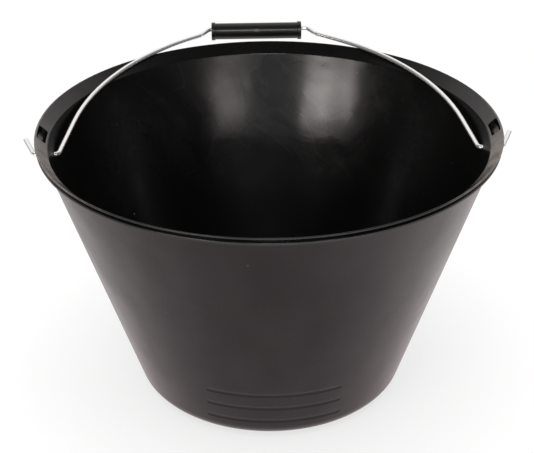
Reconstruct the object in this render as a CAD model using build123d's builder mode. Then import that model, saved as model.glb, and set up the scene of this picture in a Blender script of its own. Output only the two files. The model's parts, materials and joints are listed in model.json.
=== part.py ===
"""Mixing bucket: a moulded tub with a wire bail and a loose plastic grip.

The bucket stands on the plane z = 0 with its axis on Z. The bail pivots about a line along X, and at rest
it lies back on the rear rim, towards +Y. The finger grooves are on the front, towards -Y. Lengths are in mm.
"""

import os
from math import asin, atan2, cos, degrees, dist, hypot, radians, sin, sqrt, tan

from build123d import *

# Shell
rim_radius = 200.0
height = 243.5
base_radius = 115.0  # where the straight wall would meet the ground
wall = 3.6
floor = 4.0
foot_round = 21.0  # outside, between the underside and the wall

# Rim lip
lip_overhang = 3.8  # how far the lip's edge stands out from the line of the wall
lip_angle = 43.0  # rise of the lip's upper face, in degrees
lip_thickness = 1.6
lip_edge_round = 0.8
lip_under_round = 0.5
ledge_round = 2.0  # inside, where the wall turns out into the lip
lid_groove = 2.9  # height of the groove under the lip's edge, at its mouth
lid_groove_round = 0.2
ring_inset = 1.0  # from the lip's edge in to the edge of the ring under the groove
ring_height = 2.8  # at its edge
ring_fall = 1.0  # of the ring's underside, from its edge in to the wall
ring_top_round = 1.3
ring_under_round = 0.7
ring_root_round = 1.5

# Ears
pivot_drop = 23.2  # from the rim down to the line that the bail turns on
ear_length = 35.0  # along the rim
ear_inset = 0.6  # from the lip's edge in to the ear's outer face
ear_upright = 6.0  # height of the ear's upright outer face, below the ring
ear_foot_inset = 4.5  # from the upright outer face in to the ear's foot
ear_below_pivot = 6.5
ear_taper = 7.0  # height over which the ear runs back into the wall
ear_round = 1.5
pocket_length = 25.0  # along the rim
pocket_width = 7.2
pocket_skin = 1.2  # between the pocket and the ear's outer face
pocket_depth = 5.0  # straight down from the lip's upper face

# Finger grooves
groove_count = 3
groove_lowest = 22.5
groove_pitch = 16.8
groove_half_width = 55.0  # straight across the front, to the middle of a round end
groove_mouth = 5.6
groove_depth = 0.6

# Bail
wire_diameter = 4.0
ear_clearance = 0.5  # round the wire in its hole
leg_gap = 0.5  # between a leg and the inside of the wall
leg_lean = 10.8  # inward lean of a leg, in degrees
leg_bend = 4.5
knee_straight = 8.9  # straight wire left between the long bend of the knee and the shoulder
shoulder_slope = 30.25  # fall of the wire from the shoulder towards the knee, in degrees
shoulder_drop = 11.4
shoulder_run = 8.0
shoulder_bend = 6.0
crown_bend = 5.0
crown_offset = -4.8  # the bail is bent by hand, and its middle lies a little to one side
bail_over_reach = 12.6  # how far the bail is longer than the rim's radius
hook_length = 26.0
hook_splay = 22.5  # outward lean of a hook, in degrees
hook_bend = 4.0
hook_gap = 0.6  # straight wire left outside the line of the ear's upper face
wire_end_chamfer = 0.5
rest_gap = 0.3  # between the resting wire and the rim
steepest_rest = 60.0  # tilt from which the resting place is searched, in degrees
rest_search_steps = 40
wire_samples = 600  # places along the wire that are compared with the rim

# Grip
grip_length = 87.5
grip_diameter = 15.6
collar_height = 0.9  # above the grip's tube
collar_width = 3.6
collar_round = 0.5
collar_root_round = 0.3
grip_bore = 8.4  # loose on the wire
grip_sag = 2.0  # how far the loose grip hangs below the middle of the wire
grip_play = 2.0  # how far the grip can slide each way from the middle
grip_shift = -1.8  # where it lies within that play

# Lines of the shell's section
slope = (rim_radius - lip_overhang - base_radius) / height
wall_across = wall * sqrt(1 + slope**2)
lip_rise = tan(radians(lip_angle))
lip_drop = lip_thickness / cos(radians(lip_angle))
lip_corner = height + lip_edge_round * (1 / cos(radians(lip_angle)) + lip_rise - 1)


def outer_wall(z):
    """Radius of the wall's outside at a height."""
    return base_radius + slope * z


def inner_wall(z):
    """Radius of the wall's inside at a height."""
    return outer_wall(z) - wall_across


def lip_top(radius):
    """Height of the lip's upper face at a radius."""
    return lip_corner - lip_rise * (rim_radius - radius)


def radial_plane(angle):
    """Upright plane through the bucket's axis, with its own x pointing out and its own y up."""
    turn = radians(angle)
    return Plane(origin=(0, 0, 0), x_dir=(cos(turn), sin(turn), 0), z_dir=(sin(turn), -cos(turn), 0))


ledge_z = (lip_corner - lip_rise * (rim_radius - inner_wall(0))) / (1 - lip_rise * slope)
lid_groove_z = lip_corner - lip_drop - lid_groove
lid_groove_radius = rim_radius - lid_groove / lip_rise
ring_radius = rim_radius - ring_inset
ring_foot_z = lid_groove_z - ring_height
ring_root_z = ring_foot_z - ring_fall

# Ear sizes, from the rim and the wire
pivot_z = height - pivot_drop
wire_radius = wire_diameter / 2
ear_hole_radius = wire_radius + ear_clearance
ear_face = rim_radius - ear_inset
ear_knee_z = ring_foot_z - ear_upright
ear_foot_z = pivot_z - ear_below_pivot
ear_toe_z = ear_foot_z - ear_taper
ear_half_angle = degrees(ear_length / 2 / ear_face)
pocket_half_angle = degrees(pocket_length / 2 / ear_face)
pocket_outside = ear_face - pocket_skin
pocket_inside = pocket_outside - pocket_width

# Finger groove: a round nose run along the wall, sunk into it by the groove's depth
groove_nose = (groove_mouth**2 / 4 + groove_depth**2) / (2 * groove_depth)
nose_lift = groove_nose - groove_depth

# Shell: the revolved section, then ears, pockets, the wire's holes and finger grooves
with BuildPart() as bucket_shell:
    with BuildSketch(Plane.XZ):
        with BuildLine():
            FilletPolyline(
                (0, 0),
                (base_radius, 0),
                (outer_wall(ring_root_z), ring_root_z),
                (ring_radius, ring_foot_z),
                (ring_radius, lid_groove_z),
                (lid_groove_radius, lid_groove_z),
                (rim_radius, lip_corner - lip_drop),
                (rim_radius, lip_corner),
                (inner_wall(ledge_z), ledge_z),
                (inner_wall(floor), floor),
                (0, floor),
                radius=[
                    0,
                    foot_round,
                    ring_root_round,
                    ring_under_round,
                    ring_top_round,
                    lid_groove_round,
                    lip_under_round,
                    lip_edge_round,
                    ledge_round,
                    foot_round - wall,
                    0,
                ],
                close=True,
            )
        make_face()
    revolve(axis=Axis.Z)

    for side in (0, 180):
        with BuildSketch(radial_plane(side - ear_half_angle)):
            with BuildLine():
                FilletPolyline(
                    (ear_face - ear_foot_inset, ear_foot_z),
                    (ear_face, ear_knee_z),
                    (ear_face, lip_top(ear_face) - lip_drop / 2),
                    (outer_wall(ring_root_z) - wall_across / 2, ring_root_z),
                    (outer_wall(ear_toe_z) - wall_across / 2, ear_toe_z),
                    radius=[ear_round, ear_round, 0, 0, 0],
                    close=True,
                )
            make_face()
        revolve(axis=Axis.Z, revolution_arc=2 * ear_half_angle)

        with BuildSketch(radial_plane(side - pocket_half_angle)):
            with BuildLine():
                Polyline(
                    (pocket_inside, lip_top(pocket_inside) - pocket_depth),
                    (pocket_outside, lip_top(pocket_outside) - pocket_depth),
                    (pocket_outside, lip_corner),
                    (pocket_inside, lip_corner),
                    close=True,
                )
            make_face()
        revolve(axis=Axis.Z, revolution_arc=2 * pocket_half_angle, mode=Mode.SUBTRACT)

    with BuildSketch(Plane.YZ):
        with Locations((0, pivot_z)):
            Circle(ear_hole_radius)
    extrude(amount=rim_radius, both=True, mode=Mode.SUBTRACT)

    for number in range(groove_count):
        groove_z = groove_lowest + number * groove_pitch
        nose_out = outer_wall(groove_z) + nose_lift * wall / wall_across
        nose_z = groove_z - nose_lift * slope * wall / wall_across
        groove_half_angle = degrees(asin(groove_half_width / outer_wall(groove_z)))
        with BuildSketch(radial_plane(-90 - groove_half_angle)):
            with Locations((nose_out, nose_z)):
                Circle(groove_nose)
        revolve(axis=Axis.Z, revolution_arc=2 * groove_half_angle, mode=Mode.SUBTRACT)
        for end in (-90 - groove_half_angle, -90 + groove_half_angle):
            with Locations((nose_out * cos(radians(end)), nose_out * sin(radians(end)), nose_z)):
                Sphere(groove_nose, mode=Mode.SUBTRACT)

# Bail: corners of each half in the bail's own plane, u across and v along its reach
bail_reach = rim_radius + bail_over_reach
crown_turn = atan2(shoulder_drop, shoulder_run)
crown_u = grip_length / 2 + grip_play + crown_bend * tan(crown_turn / 2)
leg_u = inner_wall(pivot_z) - wire_radius - leg_gap
hook_turn = radians(90 - hook_splay)
hook_u = ear_face + hook_gap + hook_bend * tan(hook_turn / 2)
hook_tip = (hook_u + hook_length * sin(radians(hook_splay)), hook_length * cos(radians(hook_splay)))


def half_bail(side):
    """Corners from one hook to the middle. The leg and the slope from the shoulder are straight lines, and
    the knee is where they would cross.
    """
    crown = (crown_u + side * crown_offset, bail_reach)
    shoulder = (crown[0] + shoulder_run, bail_reach - shoulder_drop)
    leg_way = (-sin(radians(leg_lean)), cos(radians(leg_lean)))
    slope_way = (cos(radians(shoulder_slope)), -sin(radians(shoulder_slope)))
    across = leg_way[0] * slope_way[1] - leg_way[1] * slope_way[0]
    leg_run = ((shoulder[0] - leg_u) * slope_way[1] - shoulder[1] * slope_way[0]) / across
    knee = (leg_u + leg_run * leg_way[0], leg_run * leg_way[1])
    return [(side * u, v) for u, v in (hook_tip, (hook_u, 0), (leg_u, 0), knee, shoulder, crown)]


right_half = half_bail(1)
left_half = half_bail(-1)

# The knee's long bend takes up the slope from the shoulder, on the half where that is shorter
knee_to_shoulder = min(dist(half[3], half[4]) for half in (right_half, left_half))
shoulder_turn = crown_turn - radians(shoulder_slope)
knee_turn = radians(90 - leg_lean - shoulder_slope)
knee_run = knee_to_shoulder - shoulder_bend * tan(shoulder_turn / 2) - knee_straight
knee_bend = knee_run / tan(knee_turn / 2)

half_bends = [hook_bend, leg_bend, knee_bend, shoulder_bend, crown_bend]
bail_corners = right_half + left_half[::-1]
bail_bends = half_bends + half_bends[::-1]

with BuildLine():
    flat_bail = FilletPolyline(*bail_corners, radius=bail_bends)
bail_points = [flat_bail @ (step / wire_samples) for step in range(wire_samples + 1)]


def rim_clearance(tilt):
    """Least gap between the arch of the wire, tilted up from level by some degrees, and the rim.

    A point of the wire is clear where it is inside the wall or above the lip. The lip is measured from the
    middle of its rounded edge: a flat slope on the inner side of that middle, and round on the outer side.
    """
    rise = sin(radians(lip_angle))
    run = cos(radians(lip_angle))
    gaps = []
    for point in bail_points:
        if abs(point.X) > leg_u:
            continue
        radius = hypot(point.X, point.Y * cos(radians(tilt)))
        z = pivot_z + point.Y * sin(radians(tilt))
        inside = (inner_wall(z) - radius) * wall / wall_across
        out = radius - (rim_radius - lip_edge_round)
        up = z - (height - lip_edge_round)
        on_slope = out * run + up * rise < 0
        above = (up * run - out * rise if on_slope else hypot(out, up)) - lip_edge_round
        gaps.append(max(inside, above) - wire_radius)
    return min(gaps)


# The bail comes to rest where the wire meets the rim, found by halving
low_tilt = 0.0
high_tilt = steepest_rest
for halving in range(rest_search_steps):
    rest_tilt = (low_tilt + high_tilt) / 2
    if rim_clearance(rest_tilt) < rest_gap:
        low_tilt = rest_tilt
    else:
        high_tilt = rest_tilt

along = (0, cos(radians(rest_tilt)), sin(radians(rest_tilt)))
bail_plane = Plane(
    origin=(0, 0, pivot_z),
    x_dir=(1, 0, 0),
    z_dir=(0, -along[2], along[1]),
)

with BuildPart() as bail_wire:
    with BuildLine(bail_plane):
        bail_path = FilletPolyline(*bail_corners, radius=bail_bends)
    with BuildSketch(Plane(origin=bail_path @ 0, z_dir=bail_path % 0)):
        Circle(wire_radius)
    sweep(path=bail_path)
    chamfer(bail_wire.faces().filter_by(GeomType.PLANE).edges(), length=wire_end_chamfer)

# Grip: a collared tube that hangs on the straight middle of the wire
grip_centre = (crown_offset + grip_shift, bail_reach * along[1], pivot_z + bail_reach * along[2] - grip_sag)
half_grip = grip_length / 2
collar_inside = half_grip - collar_width
grip_radius = grip_diameter / 2
collar_radius = grip_radius + collar_height

with BuildPart() as handle_grip:
    with BuildSketch(Plane(origin=grip_centre, x_dir=(1, 0, 0), z_dir=(0, -1, 0))):
        with BuildLine():
            FilletPolyline(
                (-half_grip, grip_bore / 2),
                (-half_grip, collar_radius),
                (-collar_inside, collar_radius),
                (-collar_inside, grip_radius),
                (collar_inside, grip_radius),
                (collar_inside, collar_radius),
                (half_grip, collar_radius),
                (half_grip, grip_bore / 2),
                radius=[
                    0,
                    collar_round,
                    collar_round,
                    collar_root_round,
                    collar_root_round,
                    collar_round,
                    collar_round,
                    0,
                ],
                close=True,
            )
        make_face()
    revolve(axis=Axis(grip_centre, (1, 0, 0)))

os.makedirs("parts", exist_ok=True)
bucket_shell.part.label = "bucket_shell"
export_step(bucket_shell.part, "parts/bucket_shell.step")
bail_wire.part.label = "bail_wire"
export_step(bail_wire.part, "parts/bail_wire.step")
handle_grip.part.label = "handle_grip"
export_step(handle_grip.part, "parts/handle_grip.step")

print(f"pivot height {pivot_z:.2f}, bail rest tilt {rest_tilt:.3f} deg, swing {180 - 2 * rest_tilt:.2f} deg")
print(f"grip axis y {grip_centre[1]:.3f}, z {grip_centre[2]:.3f}, centre x {grip_centre[0]:.2f}")
print(f"ledge radius {inner_wall(ledge_z):.2f}, height {ledge_z:.2f}")
print(f"leg at {leg_u:.2f}, hook at {hook_u:.2f}, knee bend {knee_bend:.2f}")
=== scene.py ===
# %% [markdown]
# # A black mixing bucket with a wire bail
#
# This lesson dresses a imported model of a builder's mixing bucket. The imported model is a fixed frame: it says
# where each piece is, how big it is and what turns on what. Here each piece is modelled again by hand, finer
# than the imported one, and given its real finish: black moulded plastic, galvanised wire and a grip of harder
# black plastic. All lengths are in metres, and +Z is up.

# %% Load the frame
import json
import math

import bmesh
import bpy
from mathutils import Matrix, Vector


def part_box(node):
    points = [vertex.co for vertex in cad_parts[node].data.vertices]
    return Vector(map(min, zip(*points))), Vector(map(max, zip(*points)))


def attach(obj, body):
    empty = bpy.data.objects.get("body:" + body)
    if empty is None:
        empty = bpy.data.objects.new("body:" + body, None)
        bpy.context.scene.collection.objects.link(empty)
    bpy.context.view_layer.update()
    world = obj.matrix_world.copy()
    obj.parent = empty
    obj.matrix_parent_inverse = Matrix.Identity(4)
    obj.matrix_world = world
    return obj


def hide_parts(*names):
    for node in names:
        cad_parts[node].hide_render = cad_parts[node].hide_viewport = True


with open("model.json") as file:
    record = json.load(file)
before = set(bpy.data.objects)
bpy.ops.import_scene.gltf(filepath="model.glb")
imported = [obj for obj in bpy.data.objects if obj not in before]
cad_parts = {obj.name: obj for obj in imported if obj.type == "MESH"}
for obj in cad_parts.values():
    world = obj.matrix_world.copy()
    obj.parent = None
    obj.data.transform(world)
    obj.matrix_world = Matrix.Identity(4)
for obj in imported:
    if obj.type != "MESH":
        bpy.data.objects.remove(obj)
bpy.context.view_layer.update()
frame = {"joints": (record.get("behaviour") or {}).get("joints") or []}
joints = {joint["name"]: joint for joint in frame["joints"]}

# %% [markdown]
# ## Camera
#
# The camera stands a little above the bucket and a good way back: the rim's ellipse, the base's curve and the
# slope of both walls were fitted to find a lens of about 100 mm, 1.2 m away and 0.78 m up, looking down by
# 28.4 degrees. The bucket is turned by a little over one degree under the camera, so the camera is turned the
# other way round the bucket's axis instead, and it leans by under half a degree. The lens is shifted by half
# a pixel each way, because the picture is not cropped quite round its middle.

# %% Place the camera
photo_width = 534
focal_pixels = 1500
shift_pixels = 0.5
sensor = 36.0
camera_yaw = math.radians(-1.3)
camera_pitch = math.radians(28.40)
camera_roll = -0.0072
camera_stand = Vector((-0.0018, -1.1736, 0.7799))

bpy.ops.object.select_all(action="DESELECT")
bpy.ops.object.camera_add()
camera = bpy.context.object
camera.data.sensor_width = sensor
camera.data.lens = focal_pixels * sensor / photo_width
camera.data.shift_x = -shift_pixels / photo_width
camera.data.shift_y = shift_pixels / photo_width
camera.matrix_world = (
    Matrix.Rotation(camera_yaw, 4, "Z")
    @ Matrix.Translation(camera_stand)
    @ Matrix.Rotation(math.pi / 2 - camera_pitch, 4, "X")
    @ Matrix.Rotation(camera_roll, 4, "Z")
)
bpy.context.scene.camera = camera
print("camera at", [round(value, 3) for value in camera.matrix_world.translation])

# %% [markdown]
# ## Sizes from the frame
#
# The frame already knows the rim's radius, the height, the line that the bail turns on and how far the bail
# is tilted where it lies. The loose grip hangs 2 mm below the wire, so the wire's middle is that much above
# the grip's own axis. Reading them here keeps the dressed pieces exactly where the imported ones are.

# %% Read the main sizes
shell_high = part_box("bucket_shell")[1]
grip_low, grip_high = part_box("handle_grip")
rim_radius = round(shell_high.x, 3)
height = shell_high.z
pivot = Vector(joints["bail_swing"]["pos_m"])
grip_sag = 0.002
crown = Vector(joints["grip_spin"]["pos_m"]) + Vector((0, 0, grip_sag))
bail_tilt = math.atan2(crown.z - pivot.z, crown.y - pivot.y)
bail_reach = math.hypot(crown.z - pivot.z, crown.y - pivot.y)
grip_centre = (grip_low + grip_high) / 2
print("rim", rim_radius, "height", round(height, 4), "tilt", round(math.degrees(bail_tilt), 2))

# %% [markdown]
# ## Drawing as by hand
#
# An operator acts on whatever is selected, so every piece starts from a clean selection. A lathe piece starts
# as one lone point: a plane is added and merged at its middle. The outline is then drawn by extruding that
# point from corner to corner, which is what a modeller does with the E key.

# %% Outline helpers
same_place = 1e-6


def edit_points():
    """The mesh that is open in edit mode."""
    return bmesh.from_edit_mesh(bpy.context.object.data)


def select_points(test):
    """Selects the points whose place passes the test, and the edges between them."""
    bpy.ops.mesh.select_mode(type="VERT")
    bpy.ops.mesh.select_all(action="DESELECT")
    mesh = edit_points()
    for point in mesh.verts:
        point.select_set(test(point.co))
    mesh.select_flush_mode()
    bmesh.update_edit_mesh(bpy.context.object.data)


def draw_outline(name, corners, closed=False):
    """A new piece in edit mode: one point, extruded from corner to corner."""
    bpy.ops.object.select_all(action="DESELECT")
    bpy.ops.mesh.primitive_plane_add()
    piece = bpy.context.object
    piece.name = name
    bpy.ops.object.mode_set(mode="EDIT")
    bpy.ops.mesh.select_mode(type="VERT")
    bpy.ops.mesh.merge(type="CENTER")
    here = Vector(corners[0])
    bpy.ops.transform.translate(value=here)
    for corner in corners[1:]:
        bpy.ops.mesh.extrude_vertices_move(TRANSFORM_OT_translate={"value": Vector(corner) - here})
        here = Vector(corner)
    if closed:
        bpy.ops.mesh.select_all(action="SELECT")
        bpy.ops.mesh.edge_face_add()
    return piece


# %% [markdown]
# A corner is rounded with a vertex bevel. The bevel's offset is how far it eats along each line, so a radius
# is turned into that length first. A spun outline comes back to where it started, so its first and last rings
# are merged, and only then can Blender tell which way is out.

# %% Rounding and closing helpers
def round_corner(corner, radius, segments):
    """Rounds the outline's corner nearest to a place."""
    place = Vector(corner)
    nearest = min(edit_points().verts, key=lambda point: (point.co - place).length).co.copy()
    select_points(lambda co: (co - nearest).length < same_place)
    point = next(point for point in edit_points().verts if point.select)
    ways = [edge.other_vert(point).co - point.co for edge in point.link_edges]
    turn = math.pi - ways[0].angle(ways[1])
    bpy.ops.mesh.bevel(
        affect="VERTICES", offset=radius * math.tan(turn / 2), offset_type="OFFSET",
        segments=segments, profile=0.5,
    )


def close_lathe():
    """Joins the first and last ring of a spun outline and turns its faces outwards."""
    bpy.ops.mesh.select_all(action="SELECT")
    bpy.ops.mesh.remove_doubles(threshold=same_place)
    bpy.ops.mesh.normals_make_consistent(inside=False)


def leave_edit(piece):
    """Goes back to object mode and says how many faces the piece has."""
    bpy.ops.object.mode_set(mode="OBJECT")
    print(piece.name, len(piece.data.polygons), "faces")


# %% [markdown]
# ## Shell
#
# The bucket is one injection moulding. Its wall leans out by 18 degrees, turns through a generous round at
# the foot, and flares at the top into a sloping lip with a narrow rounded edge. Under that edge runs a deep
# groove for a lid, with a ring below it. A round thing is turned on a lathe: the section is drawn once, its
# corners are rounded, and it is spun round the axis. Drawing the section first keeps every thickness exact,
# which pushing a cylinder about would not.

# %% Work out the shell's section
base_radius = 0.115
wall = 0.0036
floor_thickness = 0.004
lip_overhang = 0.0038
lip_angle = math.radians(43)
lip_thickness = 0.0016
lip_edge_round = 0.0008
lid_groove = 0.0029
ring_inset = 0.001
ring_height = 0.0028
ring_fall = 0.001

slope = (rim_radius - lip_overhang - base_radius) / height
wall_across = wall * math.hypot(1, slope)
lip_rise = math.tan(lip_angle)
lip_drop = lip_thickness / math.cos(lip_angle)
lip_corner = height + lip_edge_round * (1 / math.cos(lip_angle) + lip_rise - 1)


def outer_wall(z):
    return base_radius + slope * z


def inner_wall(z):
    return outer_wall(z) - wall_across


ledge = (lip_corner - lip_rise * (rim_radius - inner_wall(0))) / (1 - lip_rise * slope)
groove_floor = lip_corner - lip_drop - lid_groove
ring_foot = groove_floor - ring_height
ring_root = ring_foot - ring_fall
print("wall leans", round(math.degrees(math.atan(slope)), 1), "ledge at", round(ledge, 4))

# %% [markdown]
# The section runs from the axis out along the underside, up the outside, over the lip and down the inside. A
# short run of wall is held straight below the ring and below the ledge, which keeps the shading of the long
# wall away from the small rounds there.

# %% Place the section's corners
wall_hold = 0.0015


def at(radius, z):
    return Vector((radius, 0, z))


foot = at(base_radius, 0)
wall_top = at(outer_wall(ring_root - wall_hold), ring_root - wall_hold)
ring_corner = at(outer_wall(ring_root), ring_root)
ring_low = at(rim_radius - ring_inset, ring_foot)
ring_high = at(rim_radius - ring_inset, groove_floor)
groove_corner = at(rim_radius - lid_groove / lip_rise, groove_floor)
lip_low = at(rim_radius, lip_corner - lip_drop)
lip_high = at(rim_radius, lip_corner)
ledge_corner = at(inner_wall(ledge), ledge)
wall_top_inside = at(inner_wall(ledge - wall_hold), ledge - wall_hold)
foot_inside = at(inner_wall(floor_thickness), floor_thickness)
print("lip from", ledge_corner.to_tuple(4), "to", lip_high.to_tuple(4))

# %% [markdown]
# The long runs of wall are cut into even steps, so that the faces of the spun shell are not long slivers.
# Each corner then gets its own round, with more segments where the round is large or catches the light.

# %% Draw the shell's section and spin it
foot_round = 0.021
lip_under_round = 0.0005
ledge_round = 0.002
lid_groove_round = 0.0002
ring_top_round = 0.0013
ring_under_round = 0.0007
ring_root_round = 0.0015
wall_cuts = 14
steps_round = 288
shell = draw_outline("bucket_body", [
    at(0, 0), foot, wall_top, ring_corner, ring_low, ring_high, groove_corner, lip_low, lip_high,
    ledge_corner, wall_top_inside, foot_inside, at(0, floor_thickness),
])
for run in ((foot, wall_top), (wall_top_inside, foot_inside)):
    select_points(lambda co: min((co - end).length for end in run) < same_place)
    bpy.ops.mesh.subdivide(number_cuts=wall_cuts)
for corner, radius, segments in (
    (foot, foot_round, 12),
    (ring_corner, ring_root_round, 6),
    (ring_low, ring_under_round, 5),
    (ring_high, ring_top_round, 7),
    (groove_corner, lid_groove_round, 4),
    (lip_low, lip_under_round, 4),
    (lip_high, lip_edge_round, 9),
    (ledge_corner, ledge_round, 6),
    (foot_inside, foot_round - wall, 12),
):
    round_corner(corner, radius, segments)
bpy.ops.mesh.select_all(action="SELECT")
bpy.ops.mesh.spin(steps=steps_round, angle=math.tau, center=(0, 0, 0), axis=(0, 0, 1))
close_lathe()
leave_edit(shell)

# %% [markdown]
# ## Ears
#
# The bail hangs in two blocks under the lip. Each is cored out from above, so that the plastic cools evenly,
# and that core shows as a dark window in the lip, with rounded corners. A block is a section too, spun
# through a few degrees only, so it follows the rim. It is joined to the shell with a Boolean, and the window
# and the wire's hole are cut the same way: that is how the two halves of a mould would form them.

# %% Block helpers
def spin_block(name, corners, half_angle, direction, steps=12, rounds=()):
    """A solid that follows the rim: a flat section spun through twice the half angle about one direction."""
    start = Matrix.Rotation(direction + half_angle, 3, "Z")
    piece = draw_outline(name, [start @ Vector(corner) for corner in corners], closed=True)
    for corner, radius in rounds:
        round_corner(start @ Vector(corner), radius, segments=5)
    bpy.ops.mesh.select_all(action="SELECT")
    bpy.ops.mesh.spin(steps=steps, angle=2 * half_angle, center=(0, 0, 0), axis=(0, 0, 1))
    bpy.ops.mesh.select_all(action="SELECT")
    bpy.ops.mesh.fill_holes(sides=0)
    close_lathe()
    leave_edit(piece)
    return piece


def combine(piece, tool, operation):
    """Joins a tool solid to a piece or cuts it out, and removes the tool."""
    bpy.ops.object.select_all(action="DESELECT")
    bpy.context.view_layer.objects.active = piece
    piece.select_set(True)
    change = piece.modifiers.new("combine", "BOOLEAN")
    change.operation = operation
    change.solver = "EXACT"
    change.object = tool
    bpy.ops.object.modifier_apply(modifier=change.name)
    bpy.data.objects.remove(tool)
    print(piece.name, "after", operation.lower(), len(piece.data.polygons), "faces")


# %% [markdown]
# Plastic has no sharp edges, because a mould's steel is never quite sharp and the plastic shrinks. The window
# is rounded along its upright edges, which are found by their direction and by the angle between their faces.
# The ear is rounded round its two ends, which are the faces that look along the rim.

# %% Edge helpers
upright = 0.99
along_rim = 0.9
sharp = math.radians(60)


def select_faces(test):
    """Selects the faces whose middle and direction pass the test, and says how many there are."""
    bpy.ops.mesh.select_mode(type="FACE")
    bpy.ops.mesh.select_all(action="DESELECT")
    mesh = edit_points()
    chosen = [face for face in mesh.faces if test(face.calc_center_median(), face.normal)]
    for face in chosen:
        face.select_set(True)
    bmesh.update_edit_mesh(bpy.context.object.data)
    return len(chosen)


def round_upright_edges(piece, radius, segments):
    """Rounds the sharp edges of a block that run up and down."""
    bpy.ops.object.mode_set(mode="EDIT")
    bpy.ops.mesh.select_mode(type="EDGE")
    bpy.ops.mesh.select_all(action="DESELECT")
    for edge in edit_points().edges:
        way = (edge.verts[1].co - edge.verts[0].co).normalized()
        edge.select_set(abs(way.z) > upright and edge.calc_face_angle() > sharp)
    bpy.ops.mesh.bevel(affect="EDGES", offset=radius, segments=segments)
    leave_edit(piece)


def round_ends(piece, radius, segments):
    """Rounds the edges of a block's two ends."""
    bpy.ops.object.mode_set(mode="EDIT")
    found = select_faces(lambda middle, way: abs(way.y) > along_rim)
    bpy.ops.mesh.bevel(affect="EDGES", offset=radius, segments=segments)
    print(piece.name, found, "ends rounded")
    leave_edit(piece)


# %% [markdown]
# An ear's section hangs from the middle of the lip's thickness and runs back into the middle of the wall. So
# the two solids overlap, and the Boolean leaves no gap. The two corners that look outwards are rounded.

# %% Lay out the ears
wire_radius = 0.002
hole_clearance = 0.0005
ear_inset = 0.0006
ear_width = 0.035
ear_knee_drop = 0.006
ear_foot_drop = 0.0065
ear_foot_inset = 0.0045
ear_toe_drop = 0.007
ear_round = 0.0015
ear_end_round = 0.0008

ear_face = rim_radius - ear_inset
ear_foot = pivot.z - ear_foot_drop
ear_toe = ear_foot - ear_toe_drop
ear_half_angle = ear_width / 2 / ear_face


def lip_top(radius):
    return lip_corner - lip_rise * (rim_radius - radius)


ear_section = [
    (ear_face - ear_foot_inset, 0, ear_foot),
    (ear_face, 0, ring_foot - ear_knee_drop),
    (ear_face, 0, lip_top(ear_face) - lip_drop / 2),
    (outer_wall(ring_root) - wall_across / 2, 0, ring_root),
    (outer_wall(ear_toe) - wall_across / 2, 0, ear_toe),
]
ear_rounds = [(corner, ear_round) for corner in ear_section[:2]]
print("an ear spans", round(math.degrees(2 * ear_half_angle), 1), "degrees of the rim")

# %% [markdown]
# The window goes straight down through the lip, and its floor slopes with it. Each side gets its ear and then
# its window. One long cylinder drills both holes for the wire, so that they are in line.

# %% Join the ears and cut them
window_width = 0.025
window_across = 0.0072
window_inset = 0.0012
window_depth = 0.005
window_round = 0.002

window_half_angle = window_width / 2 / ear_face
window_outside = ear_face - window_inset
window_inside = window_outside - window_across
window_section = [
    (window_inside, 0, lip_top(window_inside) - window_depth),
    (window_outside, 0, lip_top(window_outside) - window_depth),
    (window_outside, 0, lip_corner),
    (window_inside, 0, lip_corner),
]
for direction in (0, math.pi):
    ear = spin_block("ear", ear_section, ear_half_angle, direction, rounds=ear_rounds)
    round_ends(ear, ear_end_round, segments=3)
    combine(shell, ear, "UNION")
    window = spin_block("window", window_section, window_half_angle, direction)
    round_upright_edges(window, window_round, segments=6)
    combine(shell, window, "DIFFERENCE")

bpy.ops.object.select_all(action="DESELECT")
bpy.ops.mesh.primitive_cylinder_add(
    vertices=32, radius=wire_radius + hole_clearance, depth=2 * rim_radius,
    location=(0, 0, pivot.z), rotation=(0, math.pi / 2, 0),
)
combine(shell, bpy.context.object, "DIFFERENCE")

# %% [markdown]
# ## Finger grooves
#
# Low on the front, three shallow grooves give the fingers a hold when the bucket is tipped out. Each is what
# a ball-nosed cutter leaves when it runs along the wall: a ring of points spun through the groove's angle
# cuts the length of it, and a ball at each end cuts the round where the cutter goes in and out.

# %% Cut the finger grooves
groove_count = 3
groove_half_width = 0.055
groove_mouth = 0.0056
groove_depth = 0.0006
groove_lowest = 0.0225
groove_pitch = 0.0168
groove_nose = (groove_mouth ** 2 / 4 + groove_depth ** 2) / (2 * groove_depth)
nose_lift = groove_nose - groove_depth
nose_steps = 80
wall_lean = math.atan(slope)
front = -math.pi / 2


def on_nose(step):
    angle = math.tau * step / nose_steps
    return groove_nose * at(math.cos(angle), math.sin(angle))


for number in range(groove_count):
    groove_z = groove_lowest + number * groove_pitch
    off_wall = at(math.cos(wall_lean), -math.sin(wall_lean))
    nose = at(outer_wall(groove_z), groove_z) + nose_lift * off_wall
    groove_section = [nose + on_nose(step) for step in range(nose_steps)]
    groove_half_angle = math.asin(groove_half_width / outer_wall(groove_z))
    groove = spin_block("groove", groove_section, groove_half_angle, front, steps=48)
    combine(shell, groove, "DIFFERENCE")
    for end in (front - groove_half_angle, front + groove_half_angle):
        bpy.ops.object.select_all(action="DESELECT")
        bpy.ops.mesh.primitive_uv_sphere_add(
            segments=96, ring_count=48, radius=groove_nose, location=Matrix.Rotation(end, 3, "Z") @ nose,
        )
        combine(shell, bpy.context.object, "DIFFERENCE")

# %% [markdown]
# ## Bail
#
# The bail is one length of 4 mm wire, bent cold in a jig. So it is made here as the jig makes it: a ring of
# points is pushed straight for a run, then spun about the centre of the bend, and so on from one hook to the
# other. All of it lies in one plane, tilted up from the ear holes to where the wire rests on the rear rim.
# The corners are laid out first. The middle is bent a little to one side, as hand-bent wire is.

# %% Lay out the bail's corners
across = Vector((1, 0, 0))
along = Vector((0, math.cos(bail_tilt), math.sin(bail_tilt)))

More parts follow.
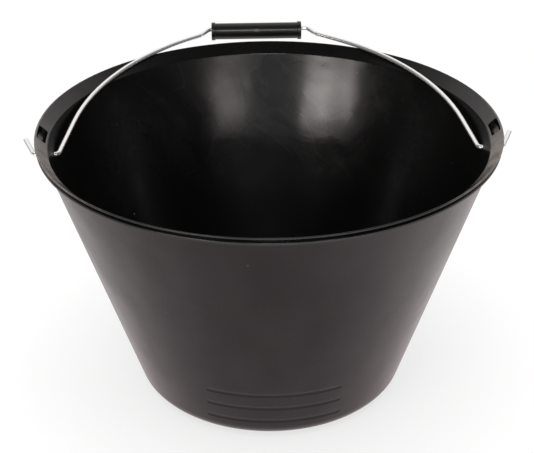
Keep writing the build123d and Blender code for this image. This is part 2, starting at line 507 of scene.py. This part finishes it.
hook_splay = math.radians(22.5)
hook_length = 0.026
hook_bend = 0.004
hook_gap = 0.0006
hook_u = ear_face + hook_gap + hook_bend * math.tan((math.pi / 2 - hook_splay) / 2)
leg_gap = 0.0005
leg_u = inner_wall(pivot.z) - wire_radius - leg_gap
leg_lean = math.radians(10.8)
shoulder_slope = math.radians(30.25)
shoulder_drop = 0.0114
shoulder_run = 0.008
crown_bend = 0.005
crown_offset = -0.0048
grip_play = 0.002
half_grip = (grip_high.x - grip_low.x) / 2
crown_u = half_grip + grip_play + crown_bend * math.tan(math.atan2(shoulder_drop, shoulder_run) / 2)


def half_bail(side):
    """Corners from one hook to the middle, as places across and along the bail's plane."""
    hook = Vector((hook_u, 0))
    tip = hook + hook_length * Vector((math.sin(hook_splay), math.cos(hook_splay)))
    leg_foot = Vector((leg_u, 0))
    leg_way = Vector((-math.sin(leg_lean), math.cos(leg_lean)))
    top = Vector((crown_u + side * crown_offset, bail_reach))
    shoulder = top + Vector((shoulder_run, -shoulder_drop))
    slope_way = Vector((math.cos(shoulder_slope), -math.sin(shoulder_slope)))
    knee = leg_foot + leg_way * ((shoulder - leg_foot).cross(slope_way) / leg_way.cross(slope_way))
    flat = [tip, hook, leg_foot, knee, shoulder, top]
    return [pivot + across * (side * spot.x) + along * spot.y for spot in flat]


corners = half_bail(1) + half_bail(-1)[::-1]
print("bail corners", len(corners), "knee at", [round(value, 4) for value in corners[3]])

# %% [markdown]
# Each corner is now bent to its own radius: tight at the hooks, the ears, the shoulders and the crown, and
# wide at the knees. A bend starts before its corner, by the radius times the tangent of half the angle.

# %% Bend the wire
leg_bend = 0.0045
knee_bend = 0.214
shoulder_bend = 0.006
degrees_per_step = 3
fewest_steps = 6
half_bends = [hook_bend, leg_bend, knee_bend, shoulder_bend, crown_bend]
bends = half_bends + half_bends[::-1]
bail_normal = across.cross(along)

bpy.ops.object.select_all(action="DESELECT")
first_way = (corners[1] - corners[0]).normalized()
bpy.ops.mesh.primitive_circle_add(
    vertices=28, radius=wire_radius, location=corners[0],
    rotation=first_way.to_track_quat("Z", "Y").to_euler(),
)
wire = bpy.context.object
wire.name = "bail"
bpy.ops.object.transform_apply(location=True, rotation=True, scale=True)
bpy.ops.object.mode_set(mode="EDIT")
bpy.ops.mesh.select_mode(type="EDGE")
bpy.ops.mesh.select_all(action="SELECT")
here = corners[0]
for before, corner, after, bend in zip(corners, corners[1:], corners[2:], bends):
    way_in = (corner - before).normalized()
    way_out = (after - corner).normalized()
    bend_angle = way_in.angle(way_out)
    left_turn = way_in.cross(way_out).dot(bail_normal) > 0
    start = corner - way_in * bend * math.tan(bend_angle / 2)
    bpy.ops.mesh.extrude_region_move(TRANSFORM_OT_translate={"value": start - here})
    axis = bail_normal if left_turn else -bail_normal
    centre = start + axis.cross(way_in) * bend
    steps = max(fewest_steps, round(math.degrees(bend_angle) / degrees_per_step))
    bpy.ops.mesh.spin(steps=steps, angle=bend_angle, center=centre, axis=-axis)
    here = corner + way_out * bend * math.tan(bend_angle / 2)
bpy.ops.mesh.extrude_region_move(TRANSFORM_OT_translate={"value": corners[-1] - here})
print("bends", [round(bend, 4) for bend in bends])

# %% [markdown]
# The wire is still an open tube. Each end is closed with a face, and the edge round that face is rounded, as
# the burr is taken off a cropped wire.

# %% Close the wire's ends
wire_end_round = 0.0005
near_end = 1e-5
wire_ends = (corners[0], corners[-1])
bpy.ops.mesh.select_all(action="SELECT")
bpy.ops.mesh.fill_holes(sides=0)
bpy.ops.mesh.normals_make_consistent(inside=False)
found = select_faces(lambda middle, way: min((middle - end).length for end in wire_ends) < near_end)
bpy.ops.mesh.bevel(affect="EDGES", offset=wire_end_round, segments=3)
print("rounded wire ends", found)
leave_edit(wire)

# %% [markdown]
# ## Grip
#
# The grip is a plastic tube with a collar at each end, threaded on the wire. It is turned on a lathe as well,
# about its own axis this time.

# %% Turn the grip
collar_radius = (grip_high.z - grip_low.z) / 2
grip_radius = 0.0078
collar_width = 0.0036
grip_bore = 0.0042
collar_inside = half_grip - collar_width
collar_round = 0.0005
collar_root_round = 0.0003


def beside_axis(x, radius):
    return grip_centre + Vector((x, 0, radius))


outer_rounds = (
    (beside_axis(-half_grip, collar_radius), collar_round),
    (beside_axis(-collar_inside, collar_radius), collar_round),
    (beside_axis(-collar_inside, grip_radius), collar_root_round),
    (beside_axis(collar_inside, grip_radius), collar_root_round),
    (beside_axis(collar_inside, collar_radius), collar_round),
    (beside_axis(half_grip, collar_radius), collar_round),
)
bore_start = beside_axis(-half_grip, grip_bore)
bore_end = beside_axis(half_grip, grip_bore)
grip_section = [bore_start, *(corner for corner, radius in outer_rounds), bore_end, bore_start]
grip = draw_outline("grip_tube", grip_section)
bpy.ops.mesh.select_all(action="SELECT")
bpy.ops.mesh.remove_doubles(threshold=same_place)
for corner, radius in outer_rounds:
    round_corner(corner, radius, segments=9)
bpy.ops.mesh.select_all(action="SELECT")
bpy.ops.mesh.spin(steps=64, angle=math.tau, center=grip_centre, axis=(1, 0, 0))
close_lathe()
leave_edit(grip)

# %% [markdown]
# The plastic was injected at the middle of the tube, and the sprue was trimmed off flat there. The flat scar
# catches the light as one small bright spot. A short cylinder that only just bites into the tube cuts it.

# %% Trim the gate
scar_radius = 0.0017
scar_depth = 0.00017
scar_tilt = math.radians(25.8)
cutter_depth = 0.002
scar_way = Vector((0, -math.cos(scar_tilt), math.sin(scar_tilt)))
bpy.ops.object.select_all(action="DESELECT")
bpy.ops.mesh.primitive_cylinder_add(
    vertices=32, radius=scar_radius, depth=cutter_depth,
    location=grip_centre + scar_way * (grip_radius - scar_depth + cutter_depth / 2),
    rotation=scar_way.to_track_quat("Z", "Y").to_euler(),
)
combine(grip, bpy.context.object, "DIFFERENCE")

# %% [markdown]
# ## Finishes
#
# Nothing here uses a picture. A finish is a small tree of shader nodes, fed by each point's place on its own
# piece, so that it stays on the piece when the bail swings. One helper adds a node and joins it up, and the
# others name the four kinds of node that are used most: a noise, a sum, a mix of two colours, and a map that
# turns one span of values into another.

# %% Node helpers
def add_node(tree, kind, sockets, **settings):
    """Adds a shader node. A socket's value is a number or colour, or the output that feeds it."""
    made = tree.nodes.new("ShaderNode" + kind)
    for name, value in settings.items():
        setattr(made, name, value)
    for name, value in sockets.items():
        if isinstance(value, bpy.types.NodeSocket):
            tree.links.new(value, made.inputs[name])
        else:
            made.inputs[name].default_value = value
    return made


def noise(tree, place, **sockets):
    """A cloudy pattern of values about 0.5."""
    return add_node(tree, "TexNoise", {"Vector": place, **sockets}).outputs["Fac"]


def reckon(tree, operation, *values):
    """A sum of one, two or three values."""
    return add_node(tree, "Math", dict(enumerate(values)), operation=operation).outputs["Value"]


def spread(tree, value, span, result, **settings):
    """Turns a value that runs over a span into one that runs over the result, and holds it at both ends."""
    sockets = {
        "Value": value, "From Min": span[0], "From Max": span[1], "To Min": result[0], "To Max": result[1],
    }
    return add_node(tree, "MapRange", sockets, **settings).outputs["Result"]


def mix_colours(tree, share, first, second):
    """The first colour where the share is 0, and the second where it is 1."""
    sockets = {"Factor": share, "A": first, "B": second}
    return add_node(tree, "Mix", sockets, data_type="RGBA").outputs["Result"]


def new_material(name):
    """A material with its tree, its shader and each point's place on the piece."""
    material = bpy.data.materials.new(name)
    material.use_nodes = True
    tree = material.node_tree
    place = add_node(tree, "TexCoord", {}).outputs["Object"]
    return material, tree, tree.nodes["Principled BSDF"], place


# %% [markdown]
# ### Black moulded plastic
#
# The bucket is black polyethylene with a satin skin. A moulding is never quite flat, so a slow noise swells
# the surface and bends what it mirrors, and a fine one gives the skin its grain. A third noise varies the
# gloss, as handling does.

# %% Skin of the plastic
noise_span = (0.3, 0.7)
satin_roughness = (0.21, 0.3)
shell_plastic, tree, shader, place = new_material("black_moulded_plastic")
swell = noise(tree, place, Scale=16, Detail=2)
grain = noise(tree, place, Scale=900, Detail=2)
wear = noise(tree, place, Scale=22, Detail=6, Roughness=0.65)
polish = spread(tree, wear, noise_span, satin_roughness)
waves = add_node(tree, "Bump", {"Height": swell, "Strength": 1, "Distance": 0.0009}).outputs["Normal"]
skin = add_node(
    tree, "Bump", {"Height": grain, "Strength": 0.12, "Distance": 0.0002, "Normal": waves},
).outputs["Normal"]
tree.links.new(skin, shader.inputs["Normal"])
print(shell_plastic.name, "skin", len(tree.nodes), "nodes")

# %% [markdown]
# The inside of the bucket is smoother than the outside. Beside the ears the swinging wire has rubbed it dull,
# and there it loses most of its sheen. A point is on the inside if it lies on the inner half of the leaning
# wall and below the lip, and beside an ear if it is far out along X.

# %% Rubbed inside
beside_ear = (0.12, 0.17)
roughness_change = (-0.05, 0.1)
middle_of_wall = base_radius - wall_across / 2
parts = add_node(tree, "SeparateXYZ", {"Vector": place}).outputs
flat_place = add_node(tree, "CombineXYZ", {"X": parts["X"], "Y": parts["Y"]}).outputs["Vector"]
from_axis = add_node(tree, "VectorMath", {0: flat_place}, operation="LENGTH").outputs["Value"]
lean = reckon(tree, "MULTIPLY", parts["Z"], slope)
skin_depth = reckon(tree, "SUBTRACT", from_axis, lean)
inner_half = reckon(tree, "LESS_THAN", skin_depth, middle_of_wall)
under_lip = reckon(tree, "LESS_THAN", parts["Z"], ledge)
inside = reckon(tree, "MULTIPLY", inner_half, under_lip)
aside = reckon(tree, "ABSOLUTE", parts["X"])
by_ear = spread(tree, aside, beside_ear, (0, 1))
rubbed = reckon(tree, "MULTIPLY", by_ear, inside)
dulling = spread(tree, by_ear, (0, 1), roughness_change)
gloss = reckon(tree, "MULTIPLY_ADD", dulling, inside, polish)
print(shell_plastic.name, "inside", len(tree.nodes), "nodes")

# %% [markdown]
# The lip is scuffed pale in front of each ear, where the bucket is dragged and stacked, and the rim's edge is
# worn a little further round. One spot serves both ears, because the sign of X is dropped. A point is on the
# lip's top if it is not far below the sloping line of the lip, and on the edge if it is out at the rim.

# %% Scuffed lip
scuff_middle = (0.186, -0.052, 0)
scuff_fade = (0.065, 0.02)
edge_fade = (0.12, 0.06)
edge_share = 0.8
scuff_roughness = 0.2
black = (0.002, 0.0019, 0.0018, 1)
scuffed_black = (0.15, 0.132, 0.12, 1)
lip_skin = lip_corner - lip_rise * rim_radius - lip_drop / 2
folded = add_node(tree, "CombineXYZ", {"X": aside, "Y": parts["Y"]}).outputs["Vector"]
from_scuff = add_node(
    tree, "VectorMath", {0: folded, 1: scuff_middle}, operation="DISTANCE",
).outputs["Value"]
lip_lift = reckon(tree, "MULTIPLY", from_axis, lip_rise)
lip_level = reckon(tree, "SUBTRACT", parts["Z"], lip_lift)
on_lip = reckon(tree, "GREATER_THAN", lip_level, lip_skin)
lip_scuff = reckon(tree, "MULTIPLY", spread(tree, from_scuff, scuff_fade, (0, 1)), on_lip)
past_lip = reckon(tree, "GREATER_THAN", from_axis, rim_radius - lip_thickness)
over_groove = reckon(tree, "GREATER_THAN", parts["Z"], lip_low.z - lip_under_round)
on_edge = reckon(tree, "MULTIPLY", past_lip, over_groove)
edge_scuff = reckon(tree, "MULTIPLY", spread(tree, from_scuff, edge_fade, (0, edge_share)), on_edge)
scratches = noise(tree, place, Scale=90, Detail=4, Roughness=0.7)
patches = spread(tree, scratches, (0.35, 0.65), (0.35, 1.2))
scuffed = reckon(tree, "MULTIPLY", reckon(tree, "MAXIMUM", lip_scuff, edge_scuff), patches)
gloss = reckon(tree, "MULTIPLY_ADD", scuffed, scuff_roughness, gloss)
bare = mix_colours(tree, scuffed, black, scuffed_black)
tree.links.new(gloss, shader.inputs["Roughness"])
print(shell_plastic.name, "scuffs", len(tree.nodes), "nodes")

# %% [markdown]
# A Voronoi pattern scatters a few pale specks of dust: only the very middle of each cell is pale. The upper
# inside carries a film of dried smears, a rough coat that spreads light round the mirrored windows. One noise
# clouds it, and the line where another noise crosses its middle draws the edges that a cloth leaves.

# %% Specks and smears
dust = (0.16, 0.15, 0.14, 1)
speck_edge = (0.020, 0.012)
film_roughness = 0.45
film_height = (0.1, 0.17)
noise_middle = 0.5
cells = add_node(tree, "TexVoronoi", {"Vector": place, "Scale": 28}).outputs["Distance"]
speck = spread(tree, cells, speck_edge, (0, 1))
tree.links.new(mix_colours(tree, speck, bare, dust), shader.inputs["Base Color"])
smear = noise(tree, place, Scale=11, Detail=5, Roughness=0.6, Distortion=1.6)
haze = spread(tree, smear, (0.42, 0.7), (0.2, 0.8))
wipe = noise(tree, place, Scale=8, Detail=1, Distortion=2)
off_edge = reckon(tree, "ABSOLUTE", reckon(tree, "SUBTRACT", wipe, noise_middle))
wipe_line = spread(tree, off_edge, (0, 0.02), (1.6, 1))
smeared = reckon(tree, "MULTIPLY", haze, wipe_line)
up_inside = spread(tree, parts["Z"], film_height, (0.05, 1))
not_rubbed = reckon(tree, "SUBTRACT", inside, rubbed)
film_share = reckon(tree, "MULTIPLY", up_inside, not_rubbed)
film = reckon(tree, "MULTIPLY", smeared, film_share)
tree.links.new(film, shader.inputs["Coat Weight"])
shader.inputs["Coat Roughness"].default_value = film_roughness
print(shell_plastic.name, "film", len(tree.nodes), "nodes")

# %% [markdown]
# Faint upright streaks vary the sheen, as rain and washing leave them. Their noise is read on a place that is
# squeezed along Z, so that its clouds come out four times as tall as wide.

# %% Streaked sheen
streak_squeeze = (1, 1, 0.25)
streak_sheen = (0.45, 0.55)
rubbed_sheen = 0.25
streak_place = add_node(
    tree, "VectorMath", {0: place, 1: streak_squeeze}, operation="MULTIPLY",
).outputs["Vector"]
streak = noise(tree, streak_place, Scale=30, Detail=4)
streaked = spread(tree, streak, noise_span, streak_sheen)
kept = spread(tree, rubbed, (0, 1), (1, rubbed_sheen))
sheen = reckon(tree, "MULTIPLY", streaked, kept)
tree.links.new(sheen, shader.inputs["Specular IOR Level"])
print(shell_plastic.name, "done", len(tree.nodes), "nodes")

# %% [markdown]
# ### Galvanised wire
#
# Zinc is a bright metal with a little white bloom on it, so the shader is nearly all metal. Its fine crystals
# differ in gloss and in tone, and one small noise gives both.

# %% Galvanised wire
zinc_dull = (0.91, 0.91, 0.91, 1)
zinc_bright = (1, 1, 1, 1)
zinc_roughness = (0.1, 0.26)
zinc_metal = 0.82
zinc, tree, shader, place = new_material("galvanised_wire")
spangle = noise(tree, place, Scale=420, Detail=3)
tree.links.new(mix_colours(tree, spangle, zinc_dull, zinc_bright), shader.inputs["Base Color"])
tree.links.new(spread(tree, spangle, (0, 1), zinc_roughness), shader.inputs["Roughness"])
shader.inputs["Metallic"].default_value = zinc_metal
print(zinc.name, len(tree.nodes), "nodes")

# %% [markdown]
# ### Grip plastic
#
# The grip is a harder plastic with no film or streaks on it, so a strip of light over the camera shows on it
# as one narrow line. Hands have polished it unevenly, which a noise in the gloss and a little in the colour
# stand for.

# %% Grip plastic
grip_dark = (0.0045, 0.0045, 0.004, 1)
grip_pale = (0.0075, 0.0072, 0.0065, 1)
grip_roughness = (0.27, 0.33)
grip_plastic, tree, shader, place = new_material("glossy_black_plastic")
handling = noise(tree, place, Scale=120, Detail=4)
tree.links.new(mix_colours(tree, handling, grip_dark, grip_pale), shader.inputs["Base Color"])
tree.links.new(spread(tree, handling, (0, 1), grip_roughness), shader.inputs["Roughness"])
print(grip_plastic.name, len(tree.nodes), "nodes")

# %% [markdown]
# ### Smooth shading
#
# Faces that meet at a shallow angle are shaded as one surface. Weighted normals then let the large faces win,
# so that the small rounds beside them don't make them look puffy. The grip gets the lowest angle, because its
# flat scar meets the round tube at only about 12 degrees and has to keep its edge.

# %% Smooth the pieces and give them their finish
for piece, material, smooth_below in (
    (shell, shell_plastic, 30),
    (wire, zinc, 40),
    (grip, grip_plastic, 12),
):
    bpy.ops.object.select_all(action="DESELECT")
    bpy.context.view_layer.objects.active = piece
    piece.select_set(True)
    bpy.ops.object.shade_smooth_by_angle(angle=math.radians(smooth_below))
    even = piece.modifiers.new("even", "WEIGHTED_NORMAL")
    even.keep_sharp = True
    bpy.ops.object.modifier_apply(modifier=even.name)
    piece.data.materials.clear()
    piece.data.materials.append(material)
    print(piece.name, "is", material.name)

# %% [markdown]
# ## Into the frame
#
# Each dressed piece rides on one body of the frame, so it follows that body's joint. It stands in for one
# imported node, which is hidden.

# %% Stand the pieces in for the imported ones
for piece, body, node, slot in (
    (shell, "bucket", "bucket_shell", "bucket_plastic"),
    (wire, "bail", "bail_wire", "galvanised_wire"),
    (grip, "grip", "handle_grip", "grip_plastic"),
):
    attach(piece, body)
    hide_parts(node)
    print(piece.name, "rides on", body, "as", node)

# %% [markdown]
# ## Floor
#
# The bucket stands on white, in soft light from all round. For the camera, two thirds of the floor's white
# beside the bucket is plain light, and further out all of it is, which keeps it white without flooding the
# bucket. The rest is real card and keeps the soft shadow.

# %% White floor
floor_size = 16
card_white = (0.93, 0.93, 0.93, 1)
plain_reach = (0.25, 0.8)
plain_part = (0.65, 1)
white = (1, 1, 1, 1)
bpy.ops.object.select_all(action="DESELECT")
bpy.ops.mesh.primitive_plane_add(size=floor_size)
floor = bpy.context.object
floor.name = "floor"
floor_white = bpy.data.materials.new("white_floor")
floor_white.use_nodes = True
tree = floor_white.node_tree
tree.nodes.remove(tree.nodes["Principled BSDF"])
place = add_node(tree, "TexCoord", {}).outputs["Object"]
rays = add_node(tree, "LightPath", {}).outputs
card = add_node(tree, "BsdfDiffuse", {"Color": card_white}).outputs["BSDF"]
plain = add_node(tree, "Emission", {"Color": white, "Strength": 1}).outputs["Emission"]
out_from_base = add_node(tree, "VectorMath", {0: place}, operation="LENGTH").outputs["Value"]
plain_white = spread(tree, out_from_base, plain_reach, plain_part)
plain_share = reckon(tree, "MULTIPLY", rays["Is Camera Ray"], plain_white)
seen_floor = add_node(tree, "MixShader", {"Fac": plain_share, 1: card, 2: plain}).outputs["Shader"]
floor.data.materials.append(floor_white)
print("floor", len(tree.nodes), "nodes")

# %% [markdown]
# The outside of the bucket mirrors the floor, so what lies there sets the wall's tone. Seen in reflections,
# the floor is a glow with painted light and shade on it. A painted shadow makes it dim and warm in front
# of the bucket, where the camera stands in the light, and it is painted paler at both sides, a little less
# so on the left. It is palest further out in front, which is what the ring under the lip mirrors, and it
# fades out behind.

# %% Painted light and shade that the bucket mirrors in the floor
# The floor's glow in reflections holds a painted shadow in front of the bucket and painted light further out.
painted_shadow_middle = (0, -0.215, 0)
warm_painted_glow = (1, 0.86, 0.885, 1)
pale_painted_glow = (1, 0.925, 0.925, 1)
parts = add_node(tree, "SeparateXYZ", {"Vector": place}).outputs
from_painted_shadow = add_node(
    tree, "VectorMath", {0: place, 1: painted_shadow_middle}, operation="DISTANCE",
).outputs["Value"]
# Painted shade: the glow dims near the spot in front and towards the left, brightens far in front, fades behind.
painted_shadow = spread(tree, from_painted_shadow, (0.09, 0.3), (0.67, 1.0))
painted_left_shade = spread(tree, parts["X"], (-0.45, -0.05), (0.8, 1))
painted_light_in_front = spread(tree, parts["Y"], (-0.36, -0.55), (0, 0.7))
painted_fade_behind = spread(tree, parts["Y"], (0.34, 0.5), (1, 0.15))
painted_light_and_shade = reckon(tree, "MULTIPLY", painted_shadow, painted_left_shade)
strength = reckon(tree, "MULTIPLY_ADD", painted_light_and_shade, painted_fade_behind, painted_light_in_front)
# The painted shadow is also warmer in tint than the painted light round it.
painted_shadow_warmth = spread(tree, from_painted_shadow, (0.15, 0.4), (0, 1))
painted_glow_tint = mix_colours(tree, painted_shadow_warmth, warm_painted_glow, pale_painted_glow)
# This emission is the painted light and shade that the bucket's glossy rays see on the floor.
painted_floor_glow = add_node(tree, "Emission", {"Color": painted_glow_tint, "Strength": strength}).outputs["Emission"]
mirrored_or_seen = add_node(
    tree, "MixShader", {"Fac": rays["Is Glossy Ray"], 1: seen_floor, 2: painted_floor_glow},
).outputs["Shader"]
tree.links.new(mirrored_or_seen, tree.nodes["Material Output"].inputs["Surface"])
print("floor", len(tree.nodes), "nodes")

# %% [markdown]
# ## Light
#
# A large soft lamp overhead lights everything evenly. It is hidden from reflections, so that it doesn't show
# as a square in the plastic. The inside of the bucket mirrors the room behind the camera: a window on each
# side with a dim wall between them. The left window has a bar, so it is two panes. Dimmer panes above light
# the smears below the mirrored windows. A strip above the camera draws the line of light along the grip.

# %% Lamps
window_light = (1, 0.93, 0.9)
bucket_mouth = (0, 0, 0.2)


def softbox(name, place, aim, width, tall, power):
    """A rectangular lamp at a place, turned to where it aims."""
    bpy.ops.object.light_add(type="AREA", location=place)
    lamp = bpy.context.object
    lamp.name = name
    lamp.data.shape = "RECTANGLE"
    lamp.data.size = width
    lamp.data.size_y = tall
    lamp.data.energy = power
    lamp.rotation_euler = (Vector(aim) - Vector(place)).to_track_quat("-Z", "Y").to_euler()
    return lamp


overhead = softbox("overhead", (0, 0, 3.0), aim=(0, 0, 0), width=4.0, tall=4.0, power=85)
overhead.visible_glossy = False
softbox("wall_between", (-0.5, -3.4, 0.85), aim=bucket_mouth, width=3.4, tall=0.6, power=3.2)
softbox("strip_over_camera", (0, -3.0, 2.15), aim=(0, 0.2, 0.25), width=0.8, tall=0.6, power=20)
for name, place, width, tall, power in (
    ("left_near_pane", (-1.65, -2.69, 0.8), 0.86, 0.4, 14.5),
    ("left_far_pane", (-2.31, -2.19, 0.8), 0.56, 0.4, 6.6),
    ("left_upper_pane", (-1.9, -2.5, 1.7), 1.6, 0.8, 10),
    ("right_pane", (1.18, -2.87, 0.79), 0.85, 0.32, 5.6),
    ("right_upper_pane", (1.18, -2.87, 1.7), 0.85, 0.8, 3),
):
    pane = softbox(name, place, bucket_mouth, width, tall, power)
    pane.data.color = window_light

# %% [markdown]
# The world is white to the camera. In reflections it is a pale sheet above and behind the bucket that fades
# to a dark room behind the camera. That gives the lip its even grey and the wire its dark lower edge.

# %% World
sheet_tilt = math.radians(20)
sheet_way = (0, math.cos(sheet_tilt), math.sin(sheet_tilt))
sheet_tint = (1, 0.95, 0.94, 1)
room_strength = 0.6
world = bpy.data.worlds.new("studio")
bpy.context.scene.world = world
world.use_nodes = True
tree = world.node_tree
way = add_node(tree, "TexCoord", {}).outputs["Generated"]
to_sheet = add_node(tree, "VectorMath", {0: way, 1: sheet_way}, operation="DOT_PRODUCT").outputs["Value"]
sheet = spread(tree, to_sheet, (0.15, 0.8), (0.03, 0.85), interpolation_type="SMOOTHSTEP")
rays = add_node(tree, "LightPath", {}).outputs
room = tree.nodes["Background"]
room.inputs["Color"].default_value = white
room.inputs["Strength"].default_value = room_strength
backdrop = add_node(tree, "Background", {"Color": sheet_tint, "Strength": sheet}).outputs["Background"]
plain = add_node(tree, "Background", {"Color": white, "Strength": 1}).outputs["Background"]
mirrored_room = add_node(
    tree, "MixShader", {"Fac": rays["Is Glossy Ray"], 1: room.outputs["Background"], 2: backdrop},
).outputs["Shader"]
seen_room = add_node(
    tree, "MixShader", {"Fac": rays["Is Camera Ray"], 1: mirrored_room, 2: plain},
).outputs["Shader"]
tree.links.new(seen_room, tree.nodes["World Output"].inputs["Surface"])
bpy.context.scene.view_settings.view_transform = "Standard"
print("world", len(tree.nodes), "nodes")
